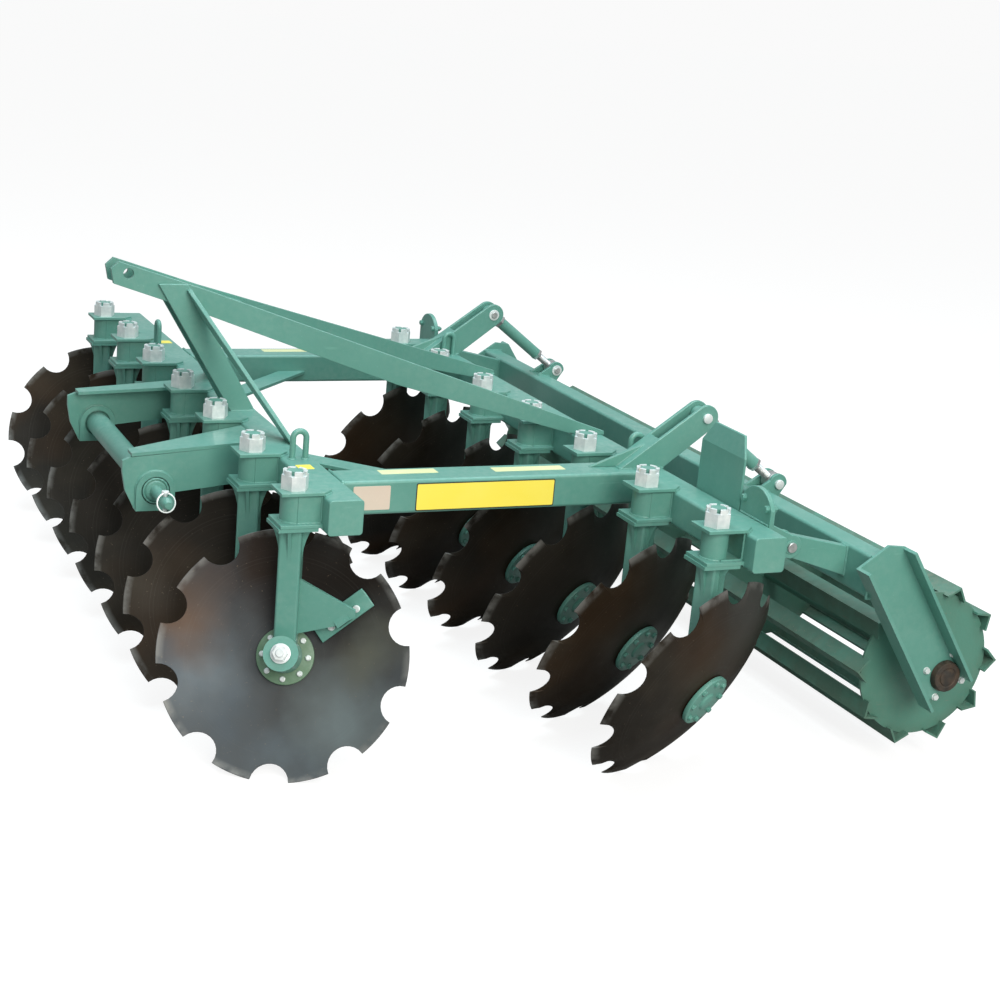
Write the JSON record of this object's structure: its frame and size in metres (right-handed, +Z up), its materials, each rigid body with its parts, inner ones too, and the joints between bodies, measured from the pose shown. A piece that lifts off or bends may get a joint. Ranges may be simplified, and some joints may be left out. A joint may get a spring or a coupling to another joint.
{
  "type": "disc harrow",
  "caption": "Mounted disc harrow: two rows of notched discs on single standards under a box frame, with a three-point hitch and a bar roller on screw links.",
  "frame": {"origin": "on the ground under the middle of the machine's box", "axes": "+X forward in the direction of travel, +Y to the machine's left, +Z up"},
  "size_m": [1.9494, 2.5576, 0.989],
  "materials": {
    "teal_paint": "satin teal-green paint with dust and a few chips",
    "blued_steel": "dark blued spring steel, partly bronze, with bare bevels",
    "zinc": "bright zinc plate"
  },
  "bodies": {
    "harrow_frame": {"front_beam": "teal_paint", "rear_beam": "teal_paint", "side_rail_left": "teal_paint", "side_rail_right": "teal_paint", "corner_plate_left": "teal_paint", "corner_plate_right": "teal_paint", "front_brackets": "teal_paint", "rear_brackets": "teal_paint", "front_standards": "teal_paint", "rear_standards": "teal_paint", "mast_plate_left": "teal_paint", "mast_plate_right": "teal_paint", "mast_cover": "teal_paint", "mast_strut_left": "teal_paint", "mast_strut_right": "teal_paint", "mast_brace_left": "teal_paint", "mast_brace_right": "teal_paint", "hitch_arm_left": "teal_paint", "hitch_arm_right": "teal_paint", "link_bracket_left": "teal_paint", "link_bracket_right": "teal_paint", "hinge_bracket_left": "teal_paint", "hinge_bracket_right": "teal_paint", "sign_plate": "teal_paint", "lifting_eyes": "teal_paint", "front_standard_nuts": "zinc", "rear_standard_nuts": "zinc", "link_pins": "zinc", "hinge_pins": "zinc", "hitch_shaft": "teal_paint", "front_scrapers": "teal_paint", "rear_scrapers": "teal_paint"},
    "roller_frame": {"roller_tube": "teal_paint", "roller_arm_left": "teal_paint", "roller_arm_right": "teal_paint", "hinge_arms": "teal_paint", "link_lugs": "teal_paint", "lug_pins": "zinc"},
    "drum": {"roller_drum": "teal_paint"},
    "front_disc_1": {"front_disc_1": "blued_steel"},
    "front_disc_2": {"front_disc_2": "blued_steel"},
    "front_disc_3": {"front_disc_3": "blued_steel"},
    "front_disc_4": {"front_disc_4": "blued_steel"},
    "front_disc_5": {"front_disc_5": "blued_steel"},
    "front_disc_6": {"front_disc_6": "blued_steel"},
    "front_disc_7": {"front_disc_7": "blued_steel"},
    "rear_disc_1": {"rear_disc_1": "blued_steel"},
    "rear_disc_2": {"rear_disc_2": "blued_steel"},
    "rear_disc_3": {"rear_disc_3": "blued_steel"},
    "rear_disc_4": {"rear_disc_4": "blued_steel"},
    "rear_disc_5": {"rear_disc_5": "blued_steel"},
    "rear_disc_6": {"rear_disc_6": "blued_steel"},
    "rear_disc_7": {"rear_disc_7": "blued_steel"},
    "link_left": {"turnbuckle_left": "teal_paint"},
    "link_rod_left": {"turnbuckle_rod_left": "zinc"},
    "link_right": {"turnbuckle_right": "teal_paint"},
    "link_rod_right": {"turnbuckle_rod_right": "zinc"}
  },
  "joints": [
    {"name": "front_disc_1_turn", "type": "hinge", "parent": "harrow_frame", "child": "front_disc_1", "pos_m": [0.684, -1.154, 0.23548], "axis": [0.4005, 0.8211, 0.4067], "continuous": true},
    {"name": "front_disc_2_turn", "type": "hinge", "parent": "harrow_frame", "child": "front_disc_2", "pos_m": [0.684, -0.834, 0.23548], "axis": [0.4005, 0.8211, 0.4067], "continuous": true},
    {"name": "front_disc_3_turn", "type": "hinge", "parent": "harrow_frame", "child": "front_disc_3", "pos_m": [0.684, -0.514, 0.23548], "axis": [0.4005, 0.8211, 0.4067], "continuous": true},
    {"name": "front_disc_4_turn", "type": "hinge", "parent": "harrow_frame", "child": "front_disc_4", "pos_m": [0.684, -0.194, 0.23548], "axis": [0.4005, 0.8211, 0.4067], "continuous": true},
    {"name": "front_disc_5_turn", "type": "hinge", "parent": "harrow_frame", "child": "front_disc_5", "pos_m": [0.684, 0.126, 0.23548], "axis": [0.4005, 0.8211, 0.4067], "continuous": true},
    {"name": "front_disc_6_turn", "type": "hinge", "parent": "harrow_frame", "child": "front_disc_6", "pos_m": [0.684, 0.446, 0.23548], "axis": [0.4005, 0.8211, 0.4067], "continuous": true},
    {"name": "front_disc_7_turn", "type": "hinge", "parent": "harrow_frame", "child": "front_disc_7", "pos_m": [0.684, 0.766, 0.23548], "axis": [0.4005, 0.8211, 0.4067], "continuous": true},
    {"name": "rear_disc_1_turn", "type": "hinge", "parent": "harrow_frame", "child": "rear_disc_1", "pos_m": [-0.149, -0.766, 0.23548], "axis": [0.4005, -0.8211, 0.4067], "continuous": true},
    {"name": "rear_disc_2_turn", "type": "hinge", "parent": "harrow_frame", "child": "rear_disc_2", "pos_m": [-0.149, -0.446, 0.23548], "axis": [0.4005, -0.8211, 0.4067], "continuous": true},
    {"name": "rear_disc_3_turn", "type": "hinge", "parent": "harrow_frame", "child": "rear_disc_3", "pos_m": [-0.149, -0.126, 0.23548], "axis": [0.4005, -0.8211, 0.4067], "continuous": true},
    {"name": "rear_disc_4_turn", "type": "hinge", "parent": "harrow_frame", "child": "rear_disc_4", "pos_m": [-0.149, 0.194, 0.23548], "axis": [0.4005, -0.8211, 0.4067], "continuous": true},
    {"name": "rear_disc_5_turn", "type": "hinge", "parent": "harrow_frame", "child": "rear_disc_5", "pos_m": [-0.149, 0.514, 0.23548], "axis": [0.4005, -0.8211, 0.4067], "continuous": true},
    {"name": "rear_disc_6_turn", "type": "hinge", "parent": "harrow_frame", "child": "rear_disc_6", "pos_m": [-0.149, 0.834, 0.23548], "axis": [0.4005, -0.8211, 0.4067], "continuous": true},
    {"name": "rear_disc_7_turn", "type": "hinge", "parent": "harrow_frame", "child": "rear_disc_7", "pos_m": [-0.149, 1.154, 0.23548], "axis": [0.4005, -0.8211, 0.4067], "continuous": true},
    {"name": "roller_swing", "type": "hinge", "parent": "harrow_frame", "child": "roller_frame", "pos_m": [-0.375, 0, 0.552], "axis": [0, 1, 0], "range_deg": [-4, 10]},
    {"name": "roller_turn", "type": "hinge", "parent": "roller_frame", "child": "drum", "pos_m": [-0.788, 0.11, 0.245], "axis": [0, 1, 0], "continuous": true},
    {"name": "link_left_swing", "type": "hinge", "parent": "harrow_frame", "child": "link_left", "pos_m": [-0.391, 0.645, 0.738], "axis": [0, 1, 0], "range_deg": [-4, 8]},
    {"name": "link_left_slide", "type": "slide", "parent": "link_left", "child": "link_rod_left", "axis": [-0.7996, 0, -0.6005], "range_m": [-0.032, 0.015]},
    {"name": "link_right_swing", "type": "hinge", "parent": "harrow_frame", "child": "link_right", "pos_m": [-0.391, -0.645, 0.738], "axis": [0, 1, 0], "range_deg": [-4, 8]},
    {"name": "link_right_slide", "type": "slide", "parent": "link_right", "child": "link_rod_right", "axis": [-0.7996, 0, -0.6005], "range_m": [-0.032, 0.015]}
  ],
  "couplings": [
    {"joint": "link_left_swing", "follows": "roller_swing", "ratio": 0.67},
    {"joint": "link_left_slide", "follows": "roller_swing", "m_per_rad": -0.162},
    {"joint": "link_right_swing", "follows": "roller_swing", "ratio": 0.67},
    {"joint": "link_right_slide", "follows": "roller_swing", "m_per_rad": -0.162}
  ]
}
